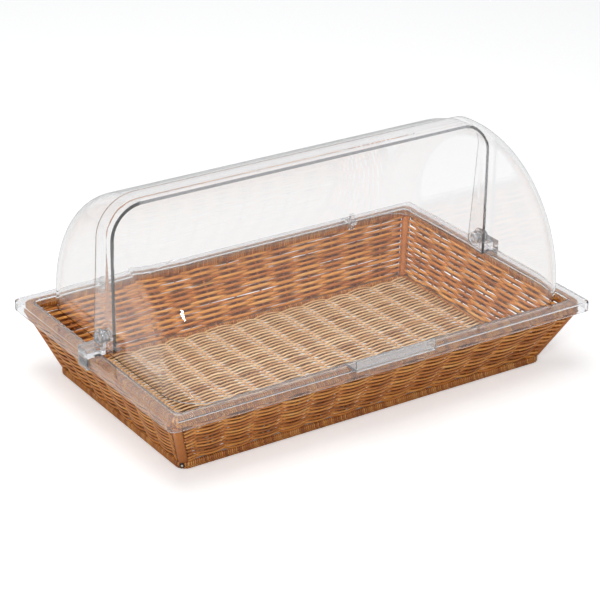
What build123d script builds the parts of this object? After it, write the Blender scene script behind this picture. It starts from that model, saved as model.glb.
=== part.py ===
from build123d import *
import math
import os

# Rectangular serving basket with a clear roll-top cover, in millimetres.
# X runs along the long side, the front is -Y and the basket stands on Z = 0.
# The origin is below the middle of the cover frame.

# Cover frame: a flange on the basket's rim, a skirt outside the rim and a lip inside it
frame_length = 565
frame_depth = 362
frame_corner = 7
flange_width = 18
flange_thickness = 2.5
skirt_height = 12
skirt_wall = 2.5
lip_wall = 1.5
lip_depth = 5
lip_clearance = 0.5
opening_corner = 8
frame_edge_round = 0.8

# Basket: wrapped borders at rim and foot, each over a ring of steel wire
basket_height = 84
rim_side_gap = 5.5
rim_height = 11
rim_inner_corner = 3
foot_length = 495
foot_depth = 280
foot_height = 9
foot_width = 9
foot_inner_corner = 3
border_round = 1.5
wire_diameter = 4
wire_play = 0.1

# Woven walls and floor, their upright stakes and the posts at the corners
wall_thickness = 7
waist_thickness = 2
wall_inset = 1
wall_inner_corner = 3
post_diameter = 11
weave_gap = 0.3
stake_diameter = 3
stake_play = 0.1
stake_spacing = 38
floor_bottom = 2
floor_thickness = 6.5
floor_stake_spacing = 34

# Clear shells: both are turned about one line along X, the front one over the rear one
roll_centre_setback = -5
roll_centre_height = 16.5
front_edge_inset = 11.5
front_side_gap = 3.5
shell_wall = 2.5
shell_gap = 3.5
rear_corner = 39
edge_height = 3
rear_edge_lead = 16
bead_width = 12
bead_thickness = 1.6
front_overlap_low = 21
front_overlap_high = 5

# Hinge: the front shell turns on two pins, one through each end wall
pivot_setback = 4
pivot_height = 19
pin_diameter = 8
pin_play = 0.05
pin_head_diameter = 13
pin_head_thickness = 3
pin_reach = 2.4
ear_radius = 10
ear_thickness = 4.2
running_gap = 0.3
spacer_diameter = 15
cap_diameter = 15
cap_thickness = 3.9
bracket_width = 20
bracket_shift = 3
bracket_height = 10.5
hook_wall = 2.5
hook_drop = 14
hook_barb = 2

# Handle on the front shell and clips behind the rear shell
handle_length = 106
handle_reach = 6
handle_wall = 2.6
handle_height = 13.5
clip_spacing = 350
clip_width = 7
clip_wall = 3
clip_top = 13
clip_drop = 7.7
clip_seat = 12
clip_tooth_wall = 2
clip_tooth_height = 6

# Heights and outlines that follow from the sizes above; an outline is
# (length, depth, corner radius)
overrun = 2
rim_top = basket_height
rim_bottom = rim_top - rim_height
flange_top = rim_top + flange_thickness
edge_level = flange_top + edge_height


def grown(outline, amount):
    """The outline moved outwards by amount on every side."""
    length, depth, corner = outline
    return (length + 2 * amount, depth + 2 * amount, corner + amount)


frame_outline = (frame_length, frame_depth, frame_corner)
opening_outline = (
    frame_length - 2 * flange_width,
    frame_depth - 2 * flange_width,
    opening_corner,
)
skirt_inner_outline = grown(frame_outline, -skirt_wall)
lip_outline = grown(opening_outline, lip_wall)
rim_inner_outline = (
    lip_outline[0] + 2 * lip_clearance,
    lip_outline[1] + 2 * lip_clearance,
    rim_inner_corner,
)
rim_width = flange_width - lip_wall - lip_clearance - skirt_wall - rim_side_gap
rim_outline = grown(rim_inner_outline, rim_width)
rim_wire_line = grown(rim_inner_outline, rim_width / 2)
foot_outline = (foot_length, foot_depth, foot_inner_corner + foot_width)
foot_inner_outline = grown(foot_outline, -foot_width)
foot_wire_line = grown(foot_outline, -foot_width / 2)
weave_bottom = foot_height + weave_gap
weave_top = rim_bottom - weave_gap
stake_bottom = foot_height + stake_play
stake_top = rim_bottom - stake_play


def ring(outer, inner, bottom, top):
    """Upright tube between two rounded rectangles."""
    with BuildPart() as tube:
        with BuildSketch(Plane.XY.offset(bottom)):
            RectangleRounded(*outer)
            RectangleRounded(*inner, mode=Mode.SUBTRACT)
        extrude(amount=top - bottom)
    return tube.part


def ring_rod(line, level, diameter):
    """Round rod bent to a level rounded rectangle."""
    with BuildSketch(Plane.XY.offset(level)) as outline:
        RectangleRounded(*line)
    path = outline.sketch.wire()
    with BuildPart() as rod:
        with BuildSketch(Plane(origin=path @ 0, z_dir=path % 0)):
            Circle(diameter / 2)
        sweep(path=path)
    return rod.part


def wire_groove(line, level, face):
    """Channel that takes a ring wire at level and is open at the height face."""
    bore = wire_diameter + 2 * wire_play
    with BuildPart() as channel:
        add(ring_rod(line, level, bore))
        add(ring(grown(line, bore / 2), grown(line, -bore / 2), min(level, face), max(level, face)))
    return channel.part


# Cover frame: one clear moulding that lies on the rim and can be lifted off
with BuildPart() as cover_frame:
    add(ring(frame_outline, opening_outline, rim_top, flange_top))
    add(ring(frame_outline, skirt_inner_outline, flange_top - skirt_height, rim_top))
    add(ring(lip_outline, opening_outline, rim_top - lip_depth, rim_top))
    flange_edges = cover_frame.faces().sort_by(Axis.Z)[-1].edges()
    fillet(flange_edges, frame_edge_round)
cover_frame.part.label = "cover_frame"
export_step(cover_frame.part, "parts/cover_frame.step")

# Rim and foot wires: steel rod bent round and welded, lying in the borders
rim_wire_level = rim_bottom + wire_diameter / 2
with BuildPart() as rim_wire:
    add(ring_rod(rim_wire_line, rim_wire_level, wire_diameter))
rim_wire.part.label = "rim_wire"
export_step(rim_wire.part, "parts/rim_wire.step")

foot_wire_level = foot_height - wire_diameter / 2
with BuildPart() as foot_wire:
    add(ring_rod(foot_wire_line, foot_wire_level, wire_diameter))
foot_wire.part.label = "foot_wire"
export_step(foot_wire.part, "parts/foot_wire.step")

# Rim border: wrapped strand over the wire, flat on top where the flange lies
with BuildPart() as rim_border:
    add(ring(rim_outline, rim_inner_outline, rim_bottom, rim_top))
    level_faces = rim_border.faces().filter_by(Axis.Z)
    fillet(level_faces.edges(), border_round)
    add(wire_groove(rim_wire_line, rim_wire_level, rim_bottom), mode=Mode.SUBTRACT)
rim_border.part.label = "rim_border"
export_step(rim_border.part, "parts/rim_border.step")

# Foot border: the same wrapping at the bottom, which the basket stands on
with BuildPart() as foot_border:
    add(ring(foot_outline, foot_inner_outline, 0, foot_height))
    level_faces = foot_border.faces().filter_by(Axis.Z)
    fillet(level_faces.edges(), border_round)
    add(wire_groove(foot_wire_line, foot_wire_level, foot_height), mode=Mode.SUBTRACT)
foot_border.part.label = "foot_border"
export_step(foot_border.part, "parts/foot_border.step")


def wall_outline(level, inset):
    """Outline of the leaning walls at a height, inset from their outer face."""
    rise = (level - foot_height) / (rim_bottom - foot_height)
    length = foot_length + (rim_outline[0] - foot_length) * rise
    depth = foot_depth + (rim_outline[1] - foot_depth) * rise
    corner = wall_inner_corner + wall_thickness
    return grown((length, depth, corner + wall_inset), -wall_inset - inset)


def post_spot(level):
    """Where a corner post's centre stands at a height, measured in +X and +Y."""
    length, depth, corner = wall_outline(level, wall_thickness / 2)
    cut = corner * (1 - math.cos(math.radians(45)))
    return (length / 2 - cut, depth / 2 - cut)


def leaning_rod(low, high, bottom, top, diameter):
    """Round rod with level ends between two points (x, y) at two heights."""
    start = Vector(*low, bottom)
    lean = Vector(*high, top) - start
    with BuildPart() as rod:
        with BuildSketch(Plane(origin=start)):
            Circle(diameter / 2)
        extrude(amount=lean.length, dir=lean)
    return rod.part


def corner_post(x_side, y_side, bottom, top, diameter):
    """Post along one of the four leaning corners."""
    (low_x, low_y), (high_x, high_y) = post_spot(bottom), post_spot(top)
    low = (x_side * low_x, y_side * low_y)
    high = (x_side * high_x, y_side * high_y)
    return leaning_rod(low, high, bottom, top, diameter)


# Corner posts: one thick strand at each corner, which both walls end against
corners = (
    ("front_left", -1, -1),
    ("front_right", 1, -1),
    ("rear_left", -1, 1),
    ("rear_right", 1, 1),
)
for corner_name, x_side, y_side in corners:
    with BuildPart() as post:
        add(corner_post(x_side, y_side, stake_bottom, stake_top, post_diameter))
    post.part.label = f"{corner_name}_post"
    export_step(post.part, f"parts/{corner_name}_post.step")


def wall_run(level, along_x):
    """One wall at a height: half its run between posts, its offset and its spaces."""
    length, depth, corner = wall_outline(level, wall_thickness / 2)
    post_x, post_y = post_spot(level)
    top_x, top_y = post_spot(rim_bottom)
    half = post_x if along_x else post_y
    spaces = round(2 * (top_x if along_x else top_y) / stake_spacing)
    offset = (depth if along_x else length) / 2
    return half, offset, spaces


def quilted_section(half, middle, thickness, spaces):
    """Sketch of a woven panel cut across its stakes, in arcs: as thick as it is over a
    stake, and at its waist midway between two stakes, where the strands cross."""
    pitch = 2 * half / spaces
    sag = (thickness - waist_thickness) / 2
    radius = ((pitch / 2) ** 2 + sag**2) / (2 * sag)
    with BuildSketch() as section:
        with BuildLine():
            for side in (-1, 1):
                crest = middle + side * thickness / 2
                waist = middle + side * waist_thickness / 2
                waists = [(-half + (n + 0.5) * pitch, waist) for n in range(spaces)]
                spots = [(-half, crest), *waists, (half, crest)]
                for start, stop in zip(spots, spots[1:]):
                    RadiusArc(start, stop, side * radius)
            for end in (-half, half):
                Line((end, middle - thickness / 2), (end, middle + thickness / 2))
        make_face()
    return section.sketch


def wall_panel(along_x, side):
    """Leaning panel of one wall, from post centre to post centre."""
    with BuildPart() as panel:
        for level in (weave_bottom, weave_top):
            half, offset, spaces = wall_run(level, along_x)
            origin = (0, side * offset, level) if along_x else (side * offset, 0, level)
            x_dir = (1, 0, 0) if along_x else (0, 1, 0)
            with BuildSketch(Plane(origin=origin, x_dir=x_dir, z_dir=(0, 0, 1))):
                add(quilted_section(half, 0, wall_thickness, spaces))
        loft()
    return panel.part


def stake_spots(level, along_x):
    """Stake centres of one wall at a height, evenly spread between its posts."""
    half, offset, spaces = wall_run(level, along_x)
    steps = [half * (2 * n / spaces - 1) for n in range(1, spaces)]
    return [(step, offset) if along_x else (offset, step) for step in steps]


def wall_stakes(along_x, side, bottom, top, diameter):
    """All stakes of one wall as separate leaning rods."""
    flip = (1, side) if along_x else (side, 1)
    rods = []
    for low, high in zip(stake_spots(bottom, along_x), stake_spots(top, along_x)):
        low = (low[0] * flip[0], low[1] * flip[1])
        high = (high[0] * flip[0], high[1] * flip[1])
        rods.append(leaning_rod(low, high, bottom, top, diameter))
    return rods


# Each wall is woven round its stakes, so it has a bore for every one, and it ends
# against the posts
walls = (
    ("front", True, -1),
    ("rear", True, 1),
    ("left", False, -1),
    ("right", False, 1),
)
room_bottom = weave_bottom - overrun
room_top = weave_top + overrun
for wall_name, along_x, side in walls:
    with BuildPart() as stakes:
        add(wall_stakes(along_x, side, stake_bottom, stake_top, stake_diameter))
    stakes.part.label = f"{wall_name}_stakes"
    export_step(stakes.part, f"parts/{wall_name}_stakes.step")

    with BuildPart() as weave:
        add(wall_panel(along_x, side))
        bore = stake_diameter + 2 * stake_play
        add(wall_stakes(along_x, side, room_bottom, room_top, bore), mode=Mode.SUBTRACT)
        room = post_diameter + 2 * weave_gap
        for corner_name, x_side, y_side in corners:
            if side == (y_side if along_x else x_side):
                post_room = corner_post(x_side, y_side, room_bottom, room_top, room)
                add(post_room, mode=Mode.SUBTRACT)
    weave.part.label = f"{wall_name}_weave"
    export_step(weave.part, f"parts/{wall_name}_weave.step")

# Floor: woven lengthwise round stakes that run from front to rear
floor_outline = grown(foot_inner_outline, -weave_gap)
floor_middle = floor_bottom + floor_thickness / 2
floor_spaces = round(floor_outline[0] / floor_stake_spacing)
floor_pitch = floor_outline[0] / floor_spaces


def floor_rods(diameter, length):
    """Rods along Y, evenly spread over the floor."""
    with BuildPart() as rods:
        with BuildSketch(Plane.XZ.offset(-length / 2)):
            with Locations((0, floor_middle)):
                with GridLocations(floor_pitch, 1, floor_spaces - 1, 1):
                    Circle(diameter / 2)
        extrude(amount=length)
    return rods.part


with BuildPart() as floor_stakes:
    add(floor_rods(stake_diameter, floor_outline[1]))
floor_stakes.part.label = "floor_stakes"
export_step(floor_stakes.part, "parts/floor_stakes.step")

with BuildPart() as floor_weave:
    with BuildSketch(Plane.XZ):
        floor_half = floor_outline[0] / 2
        add(quilted_section(floor_half, floor_middle, floor_thickness, floor_spaces))
    extrude(amount=floor_outline[1] / 2, both=True)
    upright_edges = floor_weave.edges().filter_by(Axis.Z)
    fillet(upright_edges, floor_outline[2])
    floor_bore = stake_diameter + 2 * stake_play
    add(floor_rods(floor_bore, floor_outline[1] + 2 * overrun), mode=Mode.SUBTRACT)
floor_weave.part.label = "floor_weave"
export_step(floor_weave.part, "parts/floor_weave.step")

# Shell sizes, from the opening and the front of the frame inwards
roll_y = roll_centre_setback
roll_z = flange_top + roll_centre_height
front_half = opening_outline[0] / 2 - front_side_gap
front_radius = frame_depth / 2 + roll_y - front_edge_inset
front_corner = rear_corner + shell_wall + shell_gap
rear_half = front_half - shell_wall - shell_gap
rear_radius = front_radius - shell_wall - shell_gap
shell_top = roll_z + front_radius
pivot_y = pivot_setback
pivot_z = flange_top + pivot_height
rear_front_y = pivot_y - rear_edge_lead
roll_plane = Plane(origin=(0, roll_y, roll_z), x_dir=(1, 0, 0), z_dir=(0, -1, 0))
roll_axis = Axis((0, roll_y, roll_z), (1, 0, 0))


def barrel(half_length, radius, corner, inset=0):
    """Round barrel about the roll line with rounded shoulders, moved in by inset."""
    end = half_length - inset
    top = radius - inset
    with BuildPart() as body:
        with BuildSketch(roll_plane):
            with BuildLine():
                start = Line((-end, 0), (-end, radius - corner))
                shoulder = RadiusArc(start @ 1, (corner - half_length, top), corner - inset)
                roof = Line(shoulder @ 1, (half_length - corner, top))
                far_shoulder = RadiusArc(roof @ 1, (end, radius - corner), corner - inset)
                Polyline(far_shoulder @ 1, (end, 0), start @ 0)
            make_face()
        revolve(axis=roll_axis)
    return body.part


def side_prism(points, half_width, centre_x=0):
    """Prism along X over a side outline of (y, z) points."""
    with BuildPart() as prism:
        with BuildSketch(Plane.YZ.offset(centre_x)):
            with BuildLine():
                Polyline(*points, close=True)
            make_face()
        extrude(amount=half_width, both=True)
    return prism.part


def side_disc(radius, x_from, x_to):
    """Disc or round rod about the pivot line between two places along X."""
    with BuildPart() as disc:
        with BuildSketch(Plane.YZ.offset(min(x_from, x_to))):
            with Locations((pivot_y, pivot_z)):
                Circle(radius)
        extrude(amount=abs(x_to - x_from))
    return disc.part


def upper_region(front_y, rear_low_y, rear_high_y):
    """Everything above the shells' lower edges between two side limits."""
    top = shell_top + overrun
    points = [(front_y, edge_level), (rear_low_y, edge_level), (rear_high_y, top), (front_y, top)]
    return side_prism(points, frame_length)


bore_radius = pin_diameter / 2 + pin_play
pad_face = rear_half - shell_wall - bead_thickness


def behind_bead():
    """Room inside the rear shell's thin wall, behind its bead and around its pin pads."""
    with BuildPart() as room_behind:
        add(barrel(rear_half, rear_radius, rear_corner, shell_wall))
        bead_rear = rear_front_y + bead_width
        add(upper_region(bead_rear, frame_depth, frame_depth), mode=Mode.INTERSECT)
        for side in (-1, 1):
            pad = side_disc(ear_radius, side * (pad_face - overrun), side * rear_half)
            add(pad, mode=Mode.SUBTRACT)
    return room_behind.part


# Rear shell: fixed, with a bead inside its front edge and a flat pad at each pin
with BuildPart() as rear_shell:
    add(barrel(rear_half, rear_radius, rear_corner))
    add(barrel(rear_half, rear_radius, rear_corner, shell_wall + bead_thickness), mode=Mode.SUBTRACT)
    add(behind_bead(), mode=Mode.SUBTRACT)
    add(upper_region(rear_front_y, frame_depth, frame_depth), mode=Mode.INTERSECT)
    for side in (-1, 1):
        pin_bore = side_disc(bore_radius, side * (pad_face - overrun), side * (rear_half + overrun))
        add(pin_bore, mode=Mode.SUBTRACT)
rear_shell.part.label = "rear_shell"
export_step(rear_shell.part, "parts/rear_shell.step")

# Front shell: rolls back over the rear one about the pins
with BuildPart() as front_shell:
    add(barrel(front_half, front_radius, front_corner))
    add(barrel(front_half, front_radius, front_corner, shell_wall), mode=Mode.SUBTRACT)
    low_y = pivot_y + front_overlap_low
    high_y = pivot_y + front_overlap_high
    add(upper_region(-frame_depth, low_y, high_y), mode=Mode.INTERSECT)
    for side in (-1, 1):
        inner_x = side * (front_half - shell_wall - overrun)
        pin_bore = side_disc(bore_radius, inner_x, side * (front_half + overrun))
        add(pin_bore, mode=Mode.SUBTRACT)
front_shell.part.label = "front_shell"
export_step(front_shell.part, "parts/front_shell.step")


def shell_y(radius, level):
    """How far the shell of a radius lies from the roll line at a height."""
    return math.sqrt(radius**2 - (roll_z - level) ** 2)


# Handle: an angle strip under the front shell's lower edge, with its grip turned up
handle_front = -frame_depth / 2 - handle_reach
handle_inner = roll_y - shell_y(front_radius - shell_wall, edge_level)
handle_bottom = flange_top + running_gap
handle_top = flange_top + handle_height
with BuildPart() as front_handle:
    handle_outline = [
        (handle_front, handle_bottom),
        (handle_inner, handle_bottom),
        (handle_inner, edge_level),
        (handle_front + handle_wall, edge_level),
        (handle_front + handle_wall, handle_top),
        (handle_front, handle_top),
    ]
    add(side_prism(handle_outline, handle_length / 2))
front_handle.part.label = "front_handle"
export_step(front_handle.part, "parts/front_handle.step")

# Hinge stack on each side, from the outside in: pin head, ear of the bracket,
# front shell, spacer, rear shell, cap
ear_inner = front_half + running_gap
ear_outer = ear_inner + ear_thickness
hook_outer = frame_length / 2 + hook_wall
pin_end = pad_face - pin_reach
cap_inner = pad_face - cap_thickness
for side_name, side in (("left", -1), ("right", 1)):
    with BuildPart() as hinge_bracket:
        middle = pivot_y + bracket_shift
        rear_face = middle + bracket_width / 2
        front_face = middle - bracket_width / 2
        block_outline = [
            (front_face, flange_top),
            (rear_face, flange_top),
            (rear_face, flange_top + bracket_height),
            (front_face, flange_top + bracket_height),
        ]
        arm_centre = side * (ear_inner + hook_outer) / 2
        add(side_prism(block_outline, (hook_outer - ear_inner) / 2, arm_centre))
        hook_outline = [
            (front_face, flange_top - hook_drop),
            (rear_face, flange_top - hook_drop),
            (rear_face, flange_top),
            (front_face, flange_top),
        ]
        add(side_prism(hook_outline, hook_wall / 2, side * (hook_outer - hook_wall / 2)))
        barb_outline = [
            (front_face, flange_top - hook_drop),
            (rear_face, flange_top - hook_drop),
            (rear_face, flange_top - skirt_height),
            (front_face, flange_top - skirt_height),
        ]
        add(side_prism(barb_outline, hook_barb / 2, side * (hook_outer - hook_wall - hook_barb / 2)))
        stem_outline = [
            (pivot_y - ear_radius, pivot_z),
            (front_face, flange_top),
            (pivot_y + ear_radius, flange_top),
            (pivot_y + ear_radius, pivot_z),
        ]
        ear_centre = side * (ear_inner + ear_outer) / 2
        add(side_prism(stem_outline, ear_thickness / 2, ear_centre))
        add(side_disc(ear_radius, side * ear_inner, side * ear_outer))
        ear_bore = side_disc(bore_radius, side * (ear_inner - overrun), side * (ear_outer + overrun))
        add(ear_bore, mode=Mode.SUBTRACT)
    hinge_bracket.part.label = f"{side_name}_hinge_bracket"
    export_step(hinge_bracket.part, f"parts/{side_name}_hinge_bracket.step")

    with BuildPart() as pivot_pin:
        add(side_disc(pin_diameter / 2, side * pin_end, side * ear_outer))
        head_outer = side * (ear_outer + pin_head_thickness)
        add(side_disc(pin_head_diameter / 2, side * ear_outer, head_outer))
    pivot_pin.part.label = f"{side_name}_pivot_pin"
    export_step(pivot_pin.part, f"parts/{side_name}_pivot_pin.step")

    with BuildPart() as pin_cap:
        add(side_disc(cap_diameter / 2, side * cap_inner, side * pad_face))
        socket = side_disc(bore_radius, side * (pin_end - pin_play), side * (pad_face + overrun))
        add(socket, mode=Mode.SUBTRACT)
    pin_cap.part.label = f"{side_name}_pin_cap"
    export_step(pin_cap.part, f"parts/{side_name}_pin_cap.step")

    with BuildPart() as spacer:
        spacer_outer = front_half - shell_wall - running_gap
        add(side_disc(spacer_diameter / 2, side * rear_half, side * spacer_outer))
        spacer_bore = side_disc(bore_radius, side * (rear_half - overrun), side * front_half)
        add(spacer_bore, mode=Mode.SUBTRACT)
    spacer.part.label = f"{side_name}_spacer"
    export_step(spacer.part, f"parts/{side_name}_spacer.step")

    # Rear clip: its foot lies on the flange and its slot holds the rear shell's edge
    tab_face = roll_y + rear_radius + running_gap
    tab_rear = tab_face + clip_wall
    seat_rear = opening_outline[1] / 2 + clip_seat
    slot_face = roll_y + shell_y(rear_radius - shell_wall, edge_level) - running_gap
    tooth_face = slot_face - clip_tooth_wall
    clip_outline = [
        (tooth_face, flange_top),
        (tab_face, flange_top),
        (tab_face, flange_top - clip_drop),
        (tab_rear, flange_top - clip_drop),
        (tab_rear, flange_top),
        (seat_rear, flange_top),
        (seat_rear, edge_level),
        (tab_rear, edge_level),
        (tab_rear, flange_top + clip_top),
        (tab_face, flange_top + clip_top),
        (tab_face, edge_level),
        (slot_face, edge_level),
        (slot_face, flange_top + clip_tooth_height),
        (tooth_face, flange_top + clip_tooth_height),
    ]
    with BuildPart() as rear_clip:
        add(side_prism(clip_outline, clip_width / 2, side * clip_spacing / 2))
    rear_clip.part.label = f"{side_name}_rear_clip"
    export_step(rear_clip.part, f"parts/{side_name}_rear_clip.step")
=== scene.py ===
import math

import bmesh
import bpy
import numpy as np
from mathutils import Matrix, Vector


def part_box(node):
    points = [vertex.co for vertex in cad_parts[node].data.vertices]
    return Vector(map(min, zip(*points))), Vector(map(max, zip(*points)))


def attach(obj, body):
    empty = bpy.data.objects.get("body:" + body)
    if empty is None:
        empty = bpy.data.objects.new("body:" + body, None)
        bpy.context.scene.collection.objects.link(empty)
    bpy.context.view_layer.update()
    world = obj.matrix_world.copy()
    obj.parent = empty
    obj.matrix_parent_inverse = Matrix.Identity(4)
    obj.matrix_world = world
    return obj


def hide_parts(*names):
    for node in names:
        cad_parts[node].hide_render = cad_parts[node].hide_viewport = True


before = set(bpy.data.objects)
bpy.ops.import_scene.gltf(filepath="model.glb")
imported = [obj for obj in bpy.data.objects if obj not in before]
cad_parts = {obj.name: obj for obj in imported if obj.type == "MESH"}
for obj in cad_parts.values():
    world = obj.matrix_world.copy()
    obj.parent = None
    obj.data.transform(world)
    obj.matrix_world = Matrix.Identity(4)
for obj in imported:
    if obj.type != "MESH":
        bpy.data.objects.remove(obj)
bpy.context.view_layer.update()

# Camera: in front of the left end, about 2.6 m away, looking down on the basket and rolled
# a little, as the picture is. The focal length is in pixels of the picture.
CAMERA_PLACE = (-1.3052, -1.9525, 1.19)
CAMERA_AZIMUTH = math.radians(-33.69)
CAMERA_DROP = math.radians(25.17)
CAMERA_ROLL = math.radians(0.7)
FOCAL_PIXELS = 2240.0
PICTURE_PIXELS = 600


def aim(place, azimuth, drop, roll):
    """Matrix of a camera or lamp at place. Azimuth 0 looks along +Y and turns to the left,
    drop is the angle below the horizon, and roll turns the picture about the line of
    sight."""
    away = np.array([-math.sin(azimuth) * math.cos(drop),
                     math.cos(azimuth) * math.cos(drop), -math.sin(drop)])
    right = np.array([math.cos(azimuth), math.sin(azimuth), 0.0])
    over = np.cross(right, away)
    tilted_right = right * math.cos(roll) + over * math.sin(roll)
    tilted_over = over * math.cos(roll) - right * math.sin(roll)
    matrix = np.eye(4)
    matrix[:3] = np.column_stack([tilted_right, tilted_over, -away, place])
    return Matrix(matrix.tolist())


eye = bpy.data.cameras.new("eye")
eye.sensor_width = 36
eye.lens = FOCAL_PIXELS * eye.sensor_width / PICTURE_PIXELS
eye.clip_end = 50
eye_object = bpy.data.objects.new("eye", eye)
eye_object.matrix_world = aim(CAMERA_PLACE, CAMERA_AZIMUTH, CAMERA_DROP, CAMERA_ROLL)
bpy.context.collection.objects.link(eye_object)
bpy.context.scene.camera = eye_object


# Light: a large soft box above and a small one at the front left, in a pale grey studio.
# The floor is white and catches the shadow; it isn't part of the object.
class Wire:
    """One value or colour in a material's nodes; arithmetic on it adds Math nodes."""

    def __init__(self, tree, socket=None):
        self.tree = tree
        self.socket = socket

    def node(self, kind, settings=None, sockets=None, out=0):
        """Adds one node, with its settings first and then its sockets' values or links."""
        made = self.tree.nodes.new("ShaderNode" + kind)
        for name, value in (settings or {}).items():
            if name == "stops":
                ramp = made.color_ramp.elements
                for element, (place, colour) in ((ramp[0], value[0]), (ramp[1], value[-1])):
                    element.position = place
                    element.color = colour
                for place, colour in value[1:-1]:
                    ramp.new(place).color = colour
            else:
                setattr(made, name, value)
        for name, value in (sockets or {}).items():
            if isinstance(value, Wire):
                self.tree.links.new(value.socket, made.inputs[name])
            else:
                made.inputs[name].default_value = value
        return Wire(self.tree, made.outputs[out] if len(made.outputs) else None)

    def math(self, operation, other, flip=False):
        """Math node on this value and another, or the other way round with flip."""
        first, second = (other, self) if flip else (self, other)
        return self.node("Math", {"operation": operation}, {0: first, 1: second})

    def __add__(self, other):
        return self.math("ADD", other)

    def __radd__(self, other):
        return self.math("ADD", other, True)

    def __sub__(self, other):
        return self.math("SUBTRACT", other)

    def __rsub__(self, other):
        return self.math("SUBTRACT", other, True)

    def __mul__(self, other):
        return self.math("MULTIPLY", other)

    def __rmul__(self, other):
        return self.math("MULTIPLY", other, True)


def tint(red, green, blue):
    """Colour from its 0 to 255 screen values, in the linear values that shaders take:
    ((screen + 0.055) / 1.055) to the power 2.4, and screen / 12.92 near black."""
    screen = np.array([red, green, blue]) / 255
    linear = np.where(screen > 0.04045, ((screen + 0.055) / 1.055) ** 2.4, screen / 12.92)
    return (*linear.tolist(), 1.0)


def new_material(name):
    """An empty material, and the wire that its nodes are added through."""
    material = bpy.data.materials.new(name)
    material.use_nodes = True
    material.node_tree.nodes.clear()
    return material, Wire(material.node_tree)


def close_material(wire, surface):
    """Links a shader to the material's output."""
    wire.node("OutputMaterial", None, {"Surface": surface})


def soft_box(name, place, target, width, height, watts, mirrored):
    """Rectangular lamp at place, facing target. Mirrored says if it is seen in what shines
    and through what is clear."""
    lamp = bpy.data.lights.new(name, "AREA")
    lamp.shape = "RECTANGLE"
    lamp.size, lamp.size_y = width, height
    lamp.energy = watts
    holder = bpy.data.objects.new(name, lamp)
    line = np.array(target) - np.array(place)
    drop = math.asin(-line[2] / np.linalg.norm(line))
    azimuth = math.atan2(-line[0], line[1])
    holder.matrix_world = aim(place, azimuth, drop, 0)
    holder.visible_glossy = mirrored
    holder.visible_transmission = mirrored
    bpy.context.collection.objects.link(holder)


BASKET_MIDDLE = (0, 0, 0.1)
soft_box("top_box", (-0.3, 0.1, 2.2), BASKET_MIDDLE, 1.8, 1.3, watts=22, mirrored=False)
soft_box("front_box", (-1.87, -1.59, 1.18), BASKET_MIDDLE, 0.3, 0.3, watts=17, mirrored=True)

STUDIO_WHITE = (0.92, 0.92, 0.93, 1)
STUDIO_GREYS = (
    (0.0, (0.8, 0.8, 0.8, 1)),
    (0.5, (0.42, 0.43, 0.45, 1)),
    (0.75, (0.32, 0.33, 0.34, 1)),
    (1.0, (0.45, 0.45, 0.45, 1)),
)
WHITE_IN_REFLECTIONS = 0.6
world = bpy.data.worlds.new("studio")
world.use_nodes = True
world.node_tree.nodes.clear()
sky = Wire(world.node_tree)
upwards = sky.node("SeparateXYZ", None, {0: sky.node("TexCoord", out=0)}, 2)
grey = sky.node("ValToRGB", {"stops": STUDIO_GREYS}, {0: upwards * 0.5 + 0.5})
white_share = (sky.node("LightPath", out="Is Transmission Ray")
               + sky.node("LightPath", out="Is Camera Ray")
               + sky.node("LightPath", out="Is Glossy Ray") * WHITE_IN_REFLECTIONS)
backdrop = sky.node("Mix", {"data_type": "RGBA"}, {
    0: white_share.math("MINIMUM", 1.0), 6: grey, 7: STUDIO_WHITE}, out=2)
sky.node("OutputWorld", None, {0: sky.node("Background", None, {"Color": backdrop})})
bpy.context.scene.world = world

FLOOR_REACH = 14.0
floor_mesh = bpy.data.meshes.new("studio_floor")
floor_corners = np.array([(-1, -1, 0), (1, -1, 0), (1, 1, 0), (-1, 1, 0)]) * FLOOR_REACH
floor_mesh.from_pydata(floor_corners.tolist(), [], [(0, 1, 2, 3)])
floor_object = bpy.data.objects.new("studio_floor", floor_mesh)
bpy.context.collection.objects.link(floor_object)
floor_material, wire = new_material("studio_white")
matte = wire.node("BsdfDiffuse", None, {"Color": tint(242, 242, 242)})
glow = wire.node("Emission", None, {"Color": (1, 1, 1, 1), "Strength": 0.4})
glowing = wire.node("AddShader", None, {0: matte, 1: glow})
lit_floor = wire.node("MixShader", None, {
    0: wire.node("LightPath", out="Is Camera Ray"), 1: matte, 2: glowing})
plain_white = wire.node("Emission", None, {"Color": (1, 1, 1, 1), "Strength": 0.98})
close_material(wire, wire.node("MixShader", None, {
    0: wire.node("LightPath", out="Is Transmission Ray"), 1: lit_floor, 2: plain_white}))
floor_mesh.materials.append(floor_material)


# Foot and rim wires: steel rod bent to a rounded rectangle and welded. They lie inside the
# borders, so the CAD rings stay and get the finish of bright drawn wire.
def paint_node(name, material):
    """Gives a CAD node's object the material in all its slots."""
    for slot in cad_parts[name].material_slots:
        slot.material = material


STEEL_GREYS = ((0.3, tint(120, 118, 114)), (0.7, tint(176, 174, 170)))
steel, wire = new_material("drawn_wire")
place = wire.node("TexCoord", out="Object")
streak = wire.node("TexNoise", None, {"Vector": place, "Scale": 260.0, "Detail": 4.0})
close_material(wire, wire.node("BsdfPrincipled", None, {
    "Base Color": wire.node("ValToRGB", {"stops": STEEL_GREYS}, {0: streak}),
    "Metallic": 1.0,
    "Roughness": streak * 0.25 + 0.2,
    "Normal": wire.node("Bump", None, {"Height": streak, "Strength": 0.15, "Distance": 0.0002}),
}))
for wire_name in ("foot_wire", "rim_wire"):
    paint_node(wire_name, steel)

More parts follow.
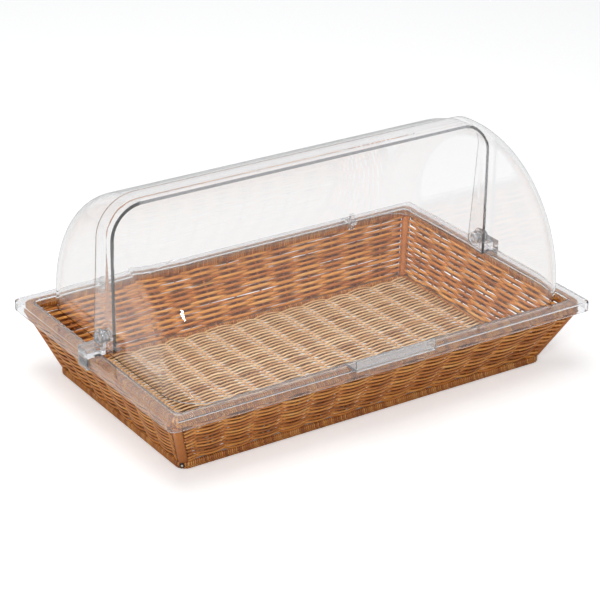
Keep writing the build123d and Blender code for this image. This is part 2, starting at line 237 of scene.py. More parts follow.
# Foot border: one strand of plastic cane wrapped tightly round the foot wire and the ends
# of the stakes, 2.6 mm a turn. Each turn is a ridge on a ring of rounded square section.
CANE_DARK = tint(108, 50, 10)
CANE_BROWN = tint(197, 116, 38)
CANE_LIGHT = tint(231, 156, 70)
CANE_PALE = tint(246, 198, 124)
BROWN_CANE = (CANE_DARK, CANE_BROWN, CANE_LIGHT, CANE_PALE)
# Deep brown that painted shade darkens the cane towards; the posts get an even tint of it.
SHADE_AND_TINT_BROWN = (0.2, 0.11, 0.05, 1)
BLOTCHES_A_METRE, GRAINS_A_METRE, GRAINS_ROUND = 55.0, 160.0, 26.0
BLOTCH_SHIFT, GRAIN_SHIFT = 37.0, 91.0
TONE_SHARE, BLOTCH_SHARE, GRAIN_SHARE, SHADE_DROP = 0.55, 0.5, 0.3, 0.2
FOOT_WIDTH, FOOT_CORNER = 0.009, 0.0075
LOOP_CORNER_POINTS = 33
WRAP_PITCH = 0.0026
WRAP_RIDGE = np.array([0.0, 0.75, 1.0, 0.75])
WRAP_SIDES = 18
WRAP_GROOVE, WRAP_UNEVEN = 0.15, 0.15
WRAP_SQUARENESS = 5
# Painted shade in the grooves between turns: how fast it grows as the ridge falls, and where it starts.
GROOVE_PAINTED_SHADE, GROOVE_SHADE_START = 2, 0.25
TURN_LENGTH, TURN_JUMP = 0.03, 0.017


def rounded_loop(length, depth, corner, where):
    """Points and outward normals at fractions where of a rounded rectangle's way round, and
    the length of that way. Each corner is a quarter circle and the straights join them."""
    turn = np.linspace(0, math.pi / 2, LOOP_CORNER_POINTS)
    angles = np.concatenate([turn + k * math.pi / 2 for k in range(4)])
    signs = np.repeat([(1, 1), (-1, 1), (-1, -1), (1, -1)], turn.size, axis=0)
    normals = np.column_stack([np.cos(angles), np.sin(angles)])
    points = signs * (length / 2 - corner, depth / 2 - corner) + corner * normals
    points = np.vstack([points, points[:1]])
    normals = np.vstack([normals, normals[:1]])
    steps = np.hypot(*np.diff(points, axis=0).T)
    run = np.concatenate([[0], np.cumsum(steps)]) / steps.sum()
    spot = [np.interp(where, run, points[:, k]) for k in (0, 1)]
    facing = np.array([np.interp(where, run, normals[:, k]) for k in (0, 1)])
    facing /= np.hypot(*facing)
    return np.stack(spot, -1), np.moveaxis(facing, 0, -1), steps.sum()


def add_piece(name, points, faces, **marks):
    """Smooth mesh object from points (n, 3), a list of faces and per-point marks."""
    mesh = bpy.data.meshes.new(name)
    mesh.from_pydata(np.reshape(points, (-1, 3)).tolist(), [], faces)
    for mark, values in marks.items():
        attribute = mesh.attributes.new(mark, "FLOAT", "POINT")
        attribute.data.foreach_set("value", np.ravel(values).astype(np.float32))
    mesh.polygons.foreach_set("use_smooth", [True] * len(mesh.polygons))
    mesh.update()
    piece = bpy.data.objects.new(name, mesh)
    bpy.context.collection.objects.link(piece)
    return piece


def grid_faces(rows, columns, close_rows=False, close_columns=False, flip=False):
    """Four-sided faces of a grid of rows x columns points, joined up where it closes."""
    row, column = np.meshgrid(np.arange(rows - (not close_rows)),
                              np.arange(columns - (not close_columns)), indexing="ij")
    next_row, next_column = (row + 1) % rows, (column + 1) % columns
    corners = [row * columns + column, next_row * columns + column,
               next_row * columns + next_column, row * columns + next_column]
    return np.stack(corners[::-1] if flip else corners, -1).reshape(-1, 4)


def finish_piece(piece, material, body, slot, *nodes):
    """Material, body and replaced nodes of one finished piece. The slot argument is not used."""
    piece.data.materials.append(material)
    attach(piece, body)
    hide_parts(*nodes)


def cane_material(name, colours, gloss=0.34, groove=0.35):
    """Plastic cane: a tone for each strand, blotches along it, fine lengthwise grooves, and
    painted shade, a deep brown, in the hollows and gaps. Marks: along (m), around (0 to 1), tone,
    and painted shade (0 to 1). The tone also shifts the noise, so that no two strands have the same
    blotches."""
    material, wire = new_material(name)
    along, around, tone, hollow = (wire.node("Attribute", {"attribute_name": mark}, out="Fac")
                                   for mark in ("along", "around", "tone", "hollow"))
    blotch_place = wire.node("CombineXYZ", None, {
        0: along * BLOTCHES_A_METRE, 1: tone * BLOTCH_SHIFT, 2: 0.0})
    blotch = wire.node("TexNoise", None, {"Vector": blotch_place, "Scale": 1.0, "Detail": 3.0})
    grain_place = wire.node("CombineXYZ", None, {
        0: along * GRAINS_A_METRE, 1: around * GRAINS_ROUND, 2: tone * GRAIN_SHIFT})
    grain = wire.node("TexNoise", None, {
        "Vector": grain_place, "Scale": 1.0, "Detail": 3.0, "Roughness": 0.6})
    shade = tone * TONE_SHARE + blotch * BLOTCH_SHARE + grain * GRAIN_SHARE - SHADE_DROP
    dark, middle, light, pale = colours
    stops = ((0.0, dark), (0.3, middle), (0.62, light), (1.0, pale))
    body = wire.node("ValToRGB", {"stops": stops}, {0: shade})
    # Painted shade: the mark multiplies the cane's colour towards a deep brown in the hollows and gaps.
    shade_and_tint_mix = wire.node("Mix", {"data_type": "RGBA", "blend_type": "MULTIPLY"}, {
        0: hollow, 6: body, 7: SHADE_AND_TINT_BROWN}, out=2)
    close_material(wire, wire.node("BsdfPrincipled", None, {
        "Base Color": shade_and_tint_mix,
        "Roughness": grain * 0.16 + (gloss - 0.05),
        "Coat Weight": (1.0 - hollow) * 0.3,
        "Coat Roughness": 0.16,
        "IOR": 1.49,
        "Normal": wire.node("Bump", None, {"Height": grain, "Strength": groove, "Distance": 0.00025}),
    }))
    return material


def wrapped_border(name, node, width, corner, seed):
    """Ring whose section is a rounded square, 1 / (|cos|^n + |sin|^n)^(1/n) from its
    middle, carried round the border's rectangle. Each turn of the strand is a ridge: from
    its crest the section draws in by the groove's share, and the ridge moves on by one
    pitch in each turn about the section. The along mark grows by TURN_LENGTH about the
    section and by TURN_JUMP from sample to sample, so that each turn has its own grain."""
    low, high = (np.array(v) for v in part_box(node))
    lower, upper = low[2], high[2]
    length, depth = high[0] - low[0] - width, high[1] - low[1] - width
    way = rounded_loop(length, depth, corner, np.array([0.0]))[2]
    turns = round(way / WRAP_PITCH)
    samples = WRAP_RIDGE.size
    step = np.arange(turns * samples)
    around = np.arange(WRAP_SIDES)[None] / WRAP_SIDES
    where = (step[:, None] / samples + around) / turns % 1.0
    spot, facing, _ = rounded_loop(length, depth, corner, where)
    rng = np.random.default_rng(seed)
    turn_tone = rng.random(turns)
    turn_proud = 1 - WRAP_UNEVEN * rng.random(turns)
    swell = (WRAP_RIDGE[step % samples] * turn_proud[step // samples])[:, None]
    angle = 2 * math.pi * around
    n = WRAP_SQUARENESS
    squarish = (np.abs(np.cos(angle)) ** n + np.abs(np.sin(angle)) ** n) ** (-1 / n)
    cut = 1 - WRAP_GROOVE * (1 - swell)
    across = width / 2 * squarish * np.cos(angle) * cut
    up = (upper - lower) / 2 * squarish * np.sin(angle) * cut + (upper + lower) / 2
    points = np.concatenate([spot + facing * across[..., None], up[..., None]], -1)
    ones = np.ones((1, WRAP_SIDES))
    # The grooves between the turns get painted shade, darkest where the ridge is lowest.
    return add_piece(
        name, points, grid_faces(step.size, WRAP_SIDES, True, True).tolist(),
        along=around * TURN_LENGTH + step[:, None] * TURN_JUMP,
        around=(step % samples)[:, None] / samples * ones,
        tone=turn_tone[step // samples][:, None] * ones,
        hollow=np.clip(GROOVE_PAINTED_SHADE * (1 - swell) - GROOVE_SHADE_START, 0, 1) * ones)


border_cane = cane_material("border_cane", BROWN_CANE)
foot_ring = wrapped_border("foot_wrapping", "foot_border", FOOT_WIDTH, FOOT_CORNER, seed=11)
finish_piece(foot_ring, border_cane, "basket", "border_strand", "foot_border")

# Wire end: where the foot wire's ends meet, at the front left corner, the bright end shows
# in a hollow between two turns of the wrapping, its darkness painted shade. Each ring of
# the profile has a radius, a height out of the corner and a painted shade, 0 bright to 1 dark.
DIMPLE = np.array([(0.0, 0.0008, 0.0), (0.0012, 0.0006, 0.0), (0.0016, -0.0004, 1.0),
                   (0.0028, 0.0, 1.0), (0.0032, -0.0012, 0.6)])
DIMPLE_SIDES = 20
DIMPLE_PROUD = 0.0004
DIMPLE_LEVEL = 0.55
# Bright steel of the wire's end, and the dark of the painted shade in the hollow round it.
WIRE_END_STEEL_AND_SHADE = ((0.2, tint(214, 200, 180)), (0.7, tint(38, 20, 10)))
MERGE_GAP = 0.00001


def seal(piece):
    """Merges the points of a piece that coincide, fills its holes and turns its faces out."""
    shape = bmesh.new()
    shape.from_mesh(piece.data)
    bmesh.ops.remove_doubles(shape, verts=shape.verts, dist=MERGE_GAP)
    bmesh.ops.holes_fill(shape, edges=shape.edges)
    bmesh.ops.recalc_face_normals(shape, faces=shape.faces)
    shape.to_mesh(piece.data)
    shape.free()


foot_low, foot_high = (np.array(v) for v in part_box("foot_border"))
spoke = np.linspace(0, 2 * math.pi, DIMPLE_SIDES, endpoint=False)[None]
radius, out, dimple_painted_shade = (DIMPLE[:, k, None] for k in range(3))
diagonal = np.array([-1.0, -1.0, 0.0]) / math.sqrt(2)
sideways = np.array([1.0, -1.0, 0.0]) / math.sqrt(2)
upright = np.array([0.0, 0.0, 1.0])
corner_inset = (FOOT_CORNER + FOOT_WIDTH / 2) * (1 - 1 / math.sqrt(2))
hub = np.array([foot_low[0] + corner_inset, foot_low[1] + corner_inset, foot_high[2] * DIMPLE_LEVEL])
hub = hub + DIMPLE_PROUD * diagonal
disc = hub + diagonal * out[..., None] + radius[..., None] * (
    sideways * np.cos(spoke)[..., None] + upright * np.sin(spoke)[..., None])
last_ring = (len(DIMPLE) - 1) * DIMPLE_SIDES
dimple_faces = grid_faces(len(DIMPLE), DIMPLE_SIDES, False, True).tolist()
dimple_faces.append(list(range(last_ring, last_ring + DIMPLE_SIDES)))
wire_end = add_piece("foot_wire_end", disc, dimple_faces, shade=dimple_painted_shade * np.ones(DIMPLE_SIDES))
seal(wire_end)
end_material, wire = new_material("wire_end")
# The shade mark paints the hollow round the bright end dark: painted shade.
shade = wire.node("Attribute", {"attribute_name": "shade"}, out="Fac")
spots = wire.node("TexNoise", None, {"Vector": wire.node("TexCoord", out="Object"), "Scale": 900.0})
close_material(wire, wire.node("BsdfPrincipled", None, {
    "Base Color": wire.node("ValToRGB", {"stops": WIRE_END_STEEL_AND_SHADE}, {0: shade}),
    "Metallic": (0.4 - shade).math("MAXIMUM", 0.0),
    "Roughness": spots * 0.3 + 0.25,
}))
finish_piece(wire_end, end_material, "basket", "steel_wire")

# Floor: canes woven along the basket over and under stakes that run from front to rear. It
# is paler than the walls, and each cane is widest where it crosses a stake.
STRAND_PITCH, STRAND_THICK = 0.0033, 0.0019
STRAND_SAMPLES, STRAND_SIDES = 9, 8
CREST_POWER = 0.8
WANDER, DRIFT, WANDER_LIMIT = 0.08, 0.03, 0.28
WAIST, BELLY, UNEVEN = 0.88, 0.14, 0.1
ROW_TONE, CROSSING_TONE = 0.75, 0.25
# Painted shade on the parts of a strand behind a stake and on its sides against its neighbours.
RECESS_PAINTED_SHADE, RECESS_SHADE_START, RECESS_SHADE_MOST = 3, 1.1, 0.85
SEAM_PAINTED_SHADE, SEAM_SHADE_MOST = 2, 0.7
ACROSS_STEP = 0.001
FLOOR_SPACES = 14
FLOOR_STRAND = 0.0037


def woven_panel(name, place, rows, spaces, reach, sway, width, seed):
    """Plain weave. place(q, w, d) maps the way along a strand q (-1 to 1), the way across
    the strands w (0 to 1) and the depth d (m) to points, with d against q x w. Strand j
    lies at depth sway * cos(pi * (spaces * (q + 1) / 2 + j)), a little flattened at its
    crests, so it passes a stake in front where its neighbour passes behind. Its section is
    an ellipse width * (WAIST + BELLY * |cos|) wide, and its middle wanders by WANDER and
    DRIFT of a row. It runs from q = -reach to reach. Painted shade is marked on the sides
    that face its neighbours and on the parts behind a stake."""
    rng = np.random.default_rng(seed)
    steps = round(spaces * STRAND_SAMPLES * reach)
    q = np.linspace(-reach, reach, steps + 1)[None]
    j = np.arange(rows)[:, None]
    beat = spaces * (q + 1) / 2
    crossing = np.floor(beat + 0.5).astype(int)
    spread = rng.normal(0, 1, (rows, spaces + 2))
    drift = np.cumsum(rng.normal(0, 1, (rows, spaces + 2)), 1)
    knots = np.arange(spaces + 2)
    wobble = np.stack([np.interp(beat[0], knots, bend) for bend in spread * WANDER + drift * DRIFT])
    w = (j + 0.5 + np.clip(wobble, -WANDER_LIMIT, WANDER_LIMIT)) / rows
    proud = np.cos(math.pi * (beat + j))
    depth = sway * np.sign(proud) * np.abs(proud) ** CREST_POWER
    centre = place(q, w, depth)
    across = place(q, w + ACROSS_STEP, depth) - centre
    across /= np.linalg.norm(across, axis=-1, keepdims=True)
    tangent = np.gradient(centre, axis=1)
    tangent /= np.linalg.norm(tangent, axis=-1, keepdims=True)
    facing = np.cross(tangent, across)
    facing /= np.linalg.norm(facing, axis=-1, keepdims=True)
    crossing_spread = np.take_along_axis(spread, np.broadcast_to(crossing, (rows, steps + 1)), 1)
    strand_width = width * (WAIST + BELLY * np.abs(proud)) * (1 + UNEVEN * crossing_spread)
    sides = np.arange(STRAND_SIDES)
    angle = 2 * math.pi * sides / STRAND_SIDES
    beside, outside = np.cos(angle), np.sin(angle)
    sideways = (strand_width[..., None] / 2 * beside)[..., None]
    outwards = (STRAND_THICK / 2 * outside)[None, None, :, None]
    points = centre[:, :, None] + across[:, :, None] * sideways + facing[:, :, None] * outwards
    count = (steps + 1) * STRAND_SIDES
    strand = grid_faces(steps + 1, STRAND_SIDES, False, True, True)
    faces = (strand[None] + (np.arange(rows) * count)[:, None, None]).reshape(-1, 4).tolist()
    caps = np.stack([sides[::-1], sides + steps * STRAND_SIDES])
    faces += (caps[None] + (np.arange(rows) * count)[:, None, None]).reshape(-1, STRAND_SIDES).tolist()
    run = np.cumsum(np.linalg.norm(np.diff(centre, axis=1, prepend=centre[:, :1]), axis=-1), 1)
    tone = ROW_TONE * rng.random((rows, 1, 1))
    tone = tone + CROSSING_TONE * rng.random((rows, spaces + 2))[j, crossing][..., None]
    # Painted shade: darker on the parts behind a stake and on the sides against the neighbours.
    recess_shade = np.clip(RECESS_PAINTED_SHADE * proud[..., None] * outside - RECESS_SHADE_START, 0, RECESS_SHADE_MOST)
    seam_shade = np.clip(1 - SEAM_PAINTED_SHADE * np.abs(outside), 0, 1) * SEAM_SHADE_MOST
    full = np.ones((rows, steps + 1, STRAND_SIDES))
    return add_piece(
        name, points, faces, along=full * run[..., None], around=full * sides / STRAND_SIDES,
        tone=full * tone, hollow=full * np.maximum(recess_shade, seam_shade))


floor_low, floor_high = (np.array(v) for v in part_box("floor_weave"))


def floor_place(q, w, d):
    """Level plane: q runs along X, w along -Y and depth upwards."""
    x = (floor_low[0] + floor_high[0]) / 2 + q * (floor_high[0] - floor_low[0]) / 2
    y = floor_high[1] - w * (floor_high[1] - floor_low[1])
    z = (floor_low[2] + floor_high[2]) / 2 + d
    return np.stack(np.broadcast_arrays(x, y, z), -1)


PALE_CANE = (tint(140, 85, 46), tint(218, 162, 108), tint(240, 197, 145), tint(252, 228, 190))
floor_cane = cane_material("floor_cane", PALE_CANE, gloss=0.3)
floor_rows = round((floor_high[1] - floor_low[1]) / STRAND_PITCH)
floor_sway = (floor_high[2] - floor_low[2] - STRAND_THICK) / 2
floor_panel = woven_panel("floor_canes", floor_place, floor_rows, FLOOR_SPACES, 1, floor_sway,
                          FLOOR_STRAND, seed=21)
finish_piece(floor_panel, floor_cane, "basket", "floor_strand", "floor_weave")

# Stakes: round canes that the floor and the walls are woven round. The CAD rods stay, with
# the same cane finish, taken from their place because they carry no marks.
stake_material, wire = new_material("stake_cane")
place = wire.node("TexCoord", out="Object")
blotch = wire.node("TexNoise", None, {"Vector": place, "Scale": 90.0, "Detail": 4.0})
fine = wire.node("TexNoise", None, {"Vector": place, "Scale": 700.0, "Detail": 2.0})
close_material(wire, wire.node("BsdfPrincipled", None, {
    "Base Color": wire.node("ValToRGB", {"stops": ((0.3, CANE_DARK), (0.75, CANE_BROWN))}, {0: blotch}),
    "Roughness": fine * 0.2 + 0.35,
    "Normal": wire.node("Bump", None, {"Height": fine, "Strength": 0.3, "Distance": 0.0002}),
}))
for part in ("floor", "front", "rear", "left", "right"):
    paint_node(f"{part}_stakes", stake_material)

# Corner posts: a thick strand bent up each leaning corner, a little flat on its face, that
# both walls end against. Its section is a squarish round with eight shallow grooves.
POST_RADIUS = 0.0055
POST_FILL, POST_FLAT = 0.96, 1.04
POST_SQUARENESS = 2.6
POST_GROOVES, POST_GROOVE = 8, 0.035
POST_RINGS, POST_SIDES = 25, 24
# The posts carry the painted-shade mark evenly, which only darkens their whole colour as a tint.
POST_TONE, POST_EVEN_TINT = 0.12, 0.15
post_material = cane_material("post_cane", BROWN_CANE, gloss=0.55, groove=0.4)
angle = np.linspace(0, 2 * math.pi, POST_SIDES, endpoint=False)[None]
rise = np.linspace(0, 1, POST_RINGS)[:, None]
squarish = (np.abs(np.cos(angle)) ** POST_SQUARENESS
            + np.abs(np.sin(angle)) ** POST_SQUARENESS) ** (-1 / POST_SQUARENESS)
ribs = 1 - POST_GROOVE * np.abs(np.sin(angle * POST_GROOVES / 2))
post_round = POST_RADIUS * POST_FILL * np.minimum(squarish, POST_FLAT) * ribs
post_section = np.stack([post_round * np.cos(angle), post_round * np.sin(angle)], -1)
post_full = np.ones((POST_RINGS, POST_SIDES))
post_faces = grid_faces(POST_RINGS, POST_SIDES, False, True, True).tolist()
post_caps = np.stack([np.arange(POST_SIDES)[::-1],
                      np.arange(POST_SIDES) + (POST_RINGS - 1) * POST_SIDES])
post_faces += post_caps.tolist()
for x_side, y_side, post_name in ((-1, -1, "front_left"), (1, -1, "front_right"),
                                  (-1, 1, "rear_left"), (1, 1, "rear_right")):
    low, high = (np.array(v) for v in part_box(f"{post_name}_post"))
    sign = np.array([x_side, y_side])
    inner = np.where(sign > 0, low[:2], high[:2]) + sign * POST_RADIUS
    outer = np.where(sign > 0, high[:2], low[:2]) - sign * POST_RADIUS
    ring = inner + (outer - inner) * rise[..., None] + post_section
    level = (low[2] + (high[2] - low[2]) * rise) * post_full
    points = np.concatenate([ring, level[..., None]], -1)
    post = add_piece(
        f"{post_name}_corner_cane", points, post_faces,
        along=level, around=angle / (2 * math.pi) * post_full,
        tone=POST_TONE * post_full, hollow=POST_EVEN_TINT * post_full)
    finish_piece(post, post_material, "basket", "post_strand", f"{post_name}_post")

# Walls: flat canes woven round the stakes from post to post. The walls lean outwards, so
# the rows grow longer and the stakes spread towards the rim.
WALL_INSET, WALL_THICK, WALL_CLEAR = 0.001, 0.007, 0.0001
WALL_STRAND = 0.0039
POST_GAP, STRAND_END_GAP = 0.0054, 0.0048
rim_low, rim_high = (np.array(v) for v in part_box("rim_border"))
foot_half = foot_high[:2] - WALL_INSET
rim_half = rim_high[:2] - WALL_INSET


def leaning_wall(lowest, highest, axis, side):
    """Place function of one wall, the share of each half that its strands cover, and its
    height along the slope (m). With rise the share of the way from the foot to the rim, a
    wall's half length and its distance from the middle both grow in a straight line from
    the foot's to the rim's. q runs between the posts, w up the wall, and the depth along
    the wall's outward normal."""
    across = 1 - axis
    tall = rim_low[2] - foot_high[2]
    lean = rim_half[across] - foot_half[across]
    normal = np.array([tall, -lean]) / math.hypot(tall, lean)
    half_length = foot_half[axis] - POST_GAP
    way = side if axis == 0 else -side

    def place(q, w, d):
        """Point at the share q of the wall's half length there, w of its height, depth d."""
        z = lowest + w * (highest - lowest)
        rise = (z - foot_high[2]) / tall
        run = q * (half_length + rise * (rim_half[axis] - foot_half[axis])) * way
        off = foot_half[across] + rise * lean - WALL_THICK / 2 + d * normal[0]
        run, off, z = np.broadcast_arrays(run, side * off, z + d * normal[1])
        return np.stack([run, off, z] if axis == 0 else [off, run, z], -1)

    return place, 1 - STRAND_END_GAP / half_length, (highest - lowest) / normal[0]


wall_cane = cane_material("wall_cane", BROWN_CANE)
wall_sway = (WALL_THICK - STRAND_THICK) / 2 - WALL_CLEAR
for wall, axis, side, spaces, seed in (("front", 0, -1, 14, 31), ("rear", 0, 1, 14, 32),
                                       ("left", 1, -1, 9, 33), ("right", 1, 1, 9, 34)):
    low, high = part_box(f"{wall}_weave")
    wall_place, wall_reach, slope_height = leaning_wall(low[2], high[2], axis, side)
    rows = round(slope_height / STRAND_PITCH)
    panel = woven_panel(f"{wall}_canes", wall_place, rows, spaces, wall_reach, wall_sway,
                        WALL_STRAND, seed)
    finish_piece(panel, wall_cane, "basket", "wall_strand", f"{wall}_weave")

# Rim border: wrapped like the foot, over the rim wire and the tops of the stakes. The
# cover's frame lies on its flat top.
RIM_WIDTH, RIM_CORNER = 0.008, 0.007
rim_ring = wrapped_border("rim_wrapping", "rim_border", RIM_WIDTH, RIM_CORNER, seed=12)
finish_piece(rim_ring, border_cane, "basket", "border_strand", "rim_border")

# Cover frame: one clear moulding lying on the rim, with a skirt outside it and a short lip
# inside it. Its edges are rounded, most of all the upper outer one.
FLANGE_WIDTH, FLANGE_THICK = 0.018, 0.0025
SKIRT_WALL, LIP_WALL, LIP_DEPTH = 0.0025, 0.0015, 0.005
FRAME_CORNER, OPENING_CORNER = 0.008, 0.008
FRAME_EDGE, FRAME_UPPER_EDGE = 0.0008, 0.0023
CORNER_STEPS, EDGE_STEPS = 14, 4
CORNER_LEAD, EDGE_LEAD, EDGE_LIMIT = 0.001, 0.2, 0.4
FRAME_SHARP_FROM = math.radians(60)
WIPED_FROM = 0.45
# Colour painted into a cut edge: painted shade for the dark line along it.
CUT_EDGE_PAINTED_SHADE = (0.07, 0.075, 0.08, 1)


def clear_material(name, colour, smudge, milk, passing):
    """Clear plastic that bends light, with a little milk in it. It lets the passing share
    of the lamp light through to what it covers, and wiping marks break its gloss. A mark
    (0 to 1) paints a cut edge dark: painted shade for the dark line of light held in the sheet."""
    material, wire = new_material(name)
    place = wire.node("TexCoord", out="Object")
    wiping = wire.node("TexNoise", None, {"Vector": place, "Scale": 14.0, "Detail": 3.0})
    wave = wire.node("TexNoise", None, {"Vector": place, "Scale": 22.0, "Detail": 0.0})
    edge = wire.node("Attribute", {"attribute_name": "edge"}, out="Fac")
    body = wire.node("Mix", {"data_type": "RGBA"}, {0: edge, 6: colour, 7: CUT_EDGE_PAINTED_SHADE}, out=2)
    clear = wire.node("BsdfPrincipled", None, {
        "Base Color": body,
        "Roughness": (wiping - WIPED_FROM).math("MAXIMUM", 0.0) * smudge,
        "IOR": 1.5,
        "Transmission Weight": 1.0 - milk,
        "Normal": wire.node("Bump", None, {"Height": wave, "Strength": 0.05, "Distance": 0.0005}),
    })
    pass_on = wire.node("BsdfTransparent", None, {"Color": (passing, passing, passing, 1)})
    close_material(wire, wire.node("MixShader", None, {
        0: wire.node("LightPath", out="Is Shadow Ray"), 1: clear, 2: pass_on}))
    return material


def rounded_profile(corners, radius):
    """Closed section with its corners rounded: each corner becomes a run of points on the
    curve (1 - t)^2 start + 2 t (1 - t) corner + t^2 stop between the spots one radius
    before and after it. One more point on the straight at either end keeps the flats flat
    when they are shaded smooth."""
    corners = np.array(corners, float)
    before = np.roll(corners, 1, 0) - corners
    after = np.roll(corners, -1, 0) - corners
    size = [np.minimum(radius, np.linalg.norm(v, axis=1) * EDGE_LIMIT)[:, None]
            for v in (before, after)]
    before /= np.linalg.norm(before, axis=1)[:, None]
    after /= np.linalg.norm(after, axis=1)[:, None]
    start = corners + before * size[0]
    stop = corners + after * size[1]
    t = np.linspace(0, 1, EDGE_STEPS + 1)[None, :, None]
    bend = ((1 - t) ** 2 * start[:, None] + 2 * t * (1 - t) * corners[:, None]
            + t ** 2 * stop[:, None])
    lead = (start + before * EDGE_LEAD * size[0])[:, None]
    tail = (stop + after * EDGE_LEAD * size[1])[:, None]
    return np.concatenate([lead, bend, tail], 1).reshape(-1, 2)


def corner_loop(length, depth, corner):
    """Points of a rounded rectangle, the same number in every corner, with one more on the
    straight at either end of it."""
    turn = np.linspace(0, math.pi / 2, CORNER_STEPS + 1)
    turn = np.concatenate([turn[:1], turn, turn[-1:]])
    angles = np.concatenate([turn + k * math.pi / 2 for k in range(4)])
    signs = np.repeat([(1, 1), (-1, 1), (-1, -1), (1, -1)], turn.size, axis=0)
    outwards = np.column_stack([np.cos(angles), np.sin(angles)])
    along = np.column_stack([-np.sin(angles), np.cos(angles)])
    nudge = np.tile([-CORNER_LEAD, *[0.0] * (CORNER_STEPS + 1), CORNER_LEAD], 4)[:, None]
    return signs * (length / 2 - corner, depth / 2 - corner) + corner * outwards + nudge * along


frame_low, frame_high = (np.array(v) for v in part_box("cover_frame"))
top = frame_high[2]
under = top - FLANGE_THICK
section = rounded_profile(
    [(0, frame_low[2]), (0, top), (FLANGE_WIDTH, top), (FLANGE_WIDTH, under - LIP_DEPTH),
     (FLANGE_WIDTH - LIP_WALL, under - LIP_DEPTH), (FLANGE_WIDTH - LIP_WALL, under),
     (SKIRT_WALL, under), (SKIRT_WALL, frame_low[2])],
    np.array([FRAME_EDGE, FRAME_UPPER_EDGE] + [FRAME_EDGE] * 6))
span = frame_high - frame_low
outer_loop = corner_loop(span[0], span[1], FRAME_CORNER)
inner_loop = corner_loop(span[0] - 2 * FLANGE_WIDTH, span[1] - 2 * FLANGE_WIDTH, OPENING_CORNER)
share = (section[:, 0] / FLANGE_WIDTH)[None, :, None]
flat = outer_loop[:, None] * (1 - share) + inner_loop[:, None] * share
level = np.broadcast_to(section[:, 1][None, :, None], flat.shape[:2] + (1,))
clear_ring = add_piece("cover_frame_moulding", np.concatenate([flat, level], -1),
                       grid_faces(len(outer_loop), len(section), True, True).tolist())
clear_ring.data.set_sharp_from_angle(angle=FRAME_SHARP_FROM)
clear_frame = clear_material("clear_frame", (0.95, 0.955, 0.965, 1), smudge=0.05, milk=0.03,
                             passing=0.65)
finish_piece(clear_ring, clear_frame, "cover", "clear_frame", "cover_frame")

# Rear shell: clear, 2.5 mm thick, a quarter of a round barrel with rounded shoulders. Its
# front edge is thickened to a bead, and it stays where it is.
BARREL_LINE = np.array([-0.005, 0.103])
SHELL_WALL = 0.0025
SHELL_FOOT = 0.0895 - BARREL_LINE[1]
EDGE_ROUND, EDGE_FULLNESS, EDGE_TURN_STEPS = 0.0005, 0.6, 7
BEAD_WIDTH, BEAD_RAMP = 0.012, 0.0015
FAN_START, FAN_STATIONS, SHOULDER_STATIONS, ROOF_STATIONS = 0.12, 12, 17, 7
ARC_POINTS, NEAR_CUT_POINTS, NEAREST_CUT = 41, 60, 0.0008
NEAR_FOOT = (0.001, 0.004, 0.01)
SHELL_SHARP_FROM = math.radians(30)
REAR_SHOULDER, REAR_CUT, BEAD_PROUD = 0.039, -0.007, 0.0016


def shell_stations(half, radius, corner):
    """Stations of a shell along X from the right end to the left, as their place x, their
    arc's radius, how far the outward normal leans to the end (1 to -1), and the share of
    the way out from the corner of the end wall. The end walls are flat, each shoulder is a
    quarter circle of the corner's radius, and the roof between them is straight."""
    fan = np.concatenate([[0.0], np.linspace(FAN_START, 1, FAN_STATIONS)])[:-1]
    swing = np.linspace(math.pi / 2, 0, SHOULDER_STATIONS)
    roof = np.linspace(1, -1, ROOF_STATIONS + 2)[1:-1]
    end, shoulder = np.full(fan.size, half), half - corner + corner * np.sin(swing)
    x = np.concatenate([end, shoulder, roof * (half - corner), -shoulder[::-1], -end])
    low_arc, bend = np.full(fan.size, radius - corner), radius - corner + corner * np.cos(swing)
    arc = np.concatenate([low_arc, bend, np.full(roof.size, radius), bend[::-1], low_arc])
    lean = np.concatenate([np.ones(fan.size), np.sin(swing), np.zeros(roof.size),
                           -np.sin(swing[::-1]), -np.ones(fan.size)])
    fan_share = np.concatenate([fan, np.ones(swing.size * 2 + roof.size), fan[::-1]])
    return x, arc, lean, fan_share


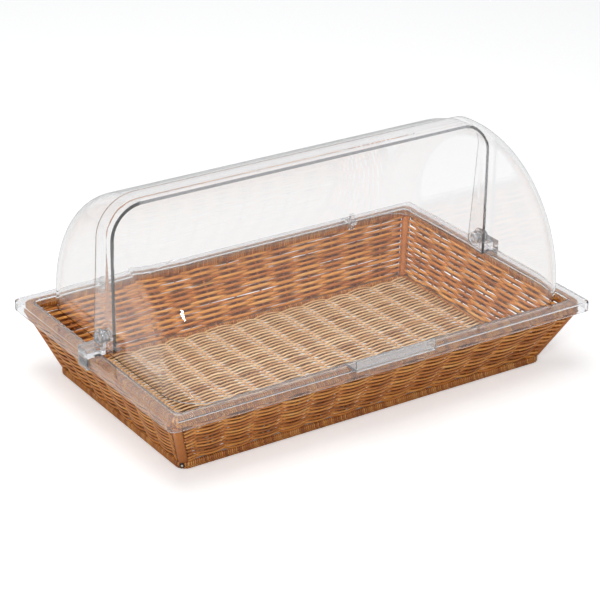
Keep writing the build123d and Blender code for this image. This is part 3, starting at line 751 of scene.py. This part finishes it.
def shell_piece(name, node, corner, cut, slant, bead, facing, edge):
    """Shell about the barrel's line: end wall, shoulder, roof, shoulder, end wall. Each
    station is an arc from the lower edge up to the cut y' = cut + slant * (z' - lower
    edge), with y' away from the barrel's line on the shell's side (facing). The end walls
    fan out from the corner where cut and lower edge meet. The inner face is the outer one
    moved in by the wall, and by the bead more within its width of the cut, and both edges
    are rounded between the two faces."""
    low, high = (np.array(v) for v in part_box(node))
    radius = high[1] - BARREL_LINE[0] if facing > 0 else BARREL_LINE[0] - low[1]
    x, arc, lean, fan_share = (v[:, None] for v in shell_stations(high[0], radius, corner))
    lower = SHELL_FOOT + EDGE_ROUND
    offset = cut + EDGE_ROUND - slant * SHELL_FOOT
    near_cut = 1 - np.geomspace(NEAREST_CUT, 1, NEAR_CUT_POINTS)
    t = np.unique(np.concatenate([near_cut, np.linspace(0, 1, ARC_POINTS), NEAR_FOOT]))
    start = np.arcsin(lower / arc)
    stop = np.arccos(offset / (arc * math.hypot(1, slant))) - math.atan(slant)
    theta = start + t[None] * (stop - start)
    hub_y, hub_z = offset + slant * lower, lower
    y = hub_y + fan_share * (arc * np.cos(theta) - hub_y)
    z = hub_z + fan_share * (arc * np.sin(theta) - hub_z)
    radial = np.sqrt(1 - lean ** 2)
    normal = np.stack(np.broadcast_arrays(lean, radial * np.cos(theta), radial * np.sin(theta)), -1)
    outside = np.stack(np.broadcast_arrays(x, y, z), -1)
    from_cut = (y - slant * z - offset) / math.hypot(1, slant)
    ramp = np.clip((BEAD_WIDTH - from_cut) / BEAD_RAMP, 0, 1)
    thick = SHELL_WALL + bead * ramp * ramp * (3 - 2 * ramp)
    inside = outside - normal * thick[..., None]
    turn = np.linspace(0, 1, EDGE_TURN_STEPS + 1)[1:-1, None]
    bulge = EDGE_ROUND * np.sin(math.pi * turn) ** EDGE_FULLNESS
    upwards = -np.array([0, 1, -slant]) / math.hypot(1, slant)
    downwards = np.array([0, 0, -1.0])
    across = outside - inside
    cut_edge = outside[:, -1:] - across[:, -1:] * turn[None] + bulge * upwards
    foot_edge = inside[:, :1] + across[:, :1] * turn[None] + bulge * downwards
    rings = np.concatenate([outside, cut_edge, inside[:, ::-1], foot_edge], 1)
    rings[..., 1] = BARREL_LINE[0] + facing * rings[..., 1]
    rings[..., 2] += BARREL_LINE[1]
    # The cut edge's rounded strip is painted dark by the mark: painted shade for the dark line along a
    # cut edge, full on the rear shell's bead and in part on the front shell.
    dark = np.zeros(rings.shape[:2])
    dark[:, t.size:t.size + turn.size] = edge
    faces = grid_faces(*rings.shape[:2], False, True, facing < 0).tolist()
    piece = add_piece(name, rings, faces, edge=dark)
    seal(piece)
    piece.data.set_sharp_from_angle(angle=SHELL_SHARP_FROM)
    return piece


clear_shell = clear_material("clear_shell", (0.995, 0.996, 0.998, 1), smudge=0.1, milk=0.0,
                             passing=0.97)
rear_piece = shell_piece("rear_shell_moulding", "rear_shell", REAR_SHOULDER, REAR_CUT,
                         slant=0.0, bead=BEAD_PROUD, facing=1, edge=1.0)
finish_piece(rear_piece, clear_shell, "cover", "clear_shell", "rear_shell")

# Front shell: the same barrel 6 mm larger all round, with a slanting rear edge and no bead.
# It rolls back over the rear shell on the two pins.
FRONT_SHOULDER, FRONT_CUT, FRONT_SLANT = 0.045, -0.03, 16 / 180
front_piece = shell_piece("front_shell_moulding", "front_shell", FRONT_SHOULDER, FRONT_CUT,
                          slant=FRONT_SLANT, bead=0.0, facing=-1, edge=0.35)
finish_piece(front_piece, clear_shell, "front_cover", "clear_shell", "front_shell")

# Fittings: clear mouldings. Brackets hooked over the frame, pivot pins with their spacers
# and caps, the clips behind the rear shell, and the handle under the front shell's edge.
BRACKET_EDGE, SMALL_EDGE, SPACER_EDGE = 0.0006, 0.0005, 0.0002
ROUNDED_FROM = math.radians(40)
clear_fitting = clear_material("clear_fitting", (0.93, 0.94, 0.95, 1), smudge=0.2, milk=0.1,
                               passing=0.8)


def soften(node, body, radius):
    """Copy of a CAD node with its coincident points merged and its edges rounded."""
    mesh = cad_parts[node].data.copy()
    mesh.materials.clear()
    piece = bpy.data.objects.new(f"{node}_moulding", mesh)
    bpy.context.collection.objects.link(piece)
    piece.modifiers.new("weld", "WELD").merge_threshold = MERGE_GAP
    bevel = piece.modifiers.new("round", "BEVEL")
    bevel.width = radius
    bevel.segments = 3
    bevel.limit_method = "ANGLE"
    bevel.angle_limit = ROUNDED_FROM
    bevel.harden_normals = True
    finish_piece(piece, clear_fitting, body, "clear_fitting", node)


for end in ("left", "right"):
    for fitting, radius in (("hinge_bracket", BRACKET_EDGE), ("pivot_pin", SMALL_EDGE),
                            ("pin_cap", SMALL_EDGE), ("spacer", SPACER_EDGE),
                            ("rear_clip", SMALL_EDGE)):
        soften(f"{end}_{fitting}", "cover", radius)
soften("front_handle", "front_cover", BRACKET_EDGE)

bpy.context.scene.view_settings.view_transform = "Standard"
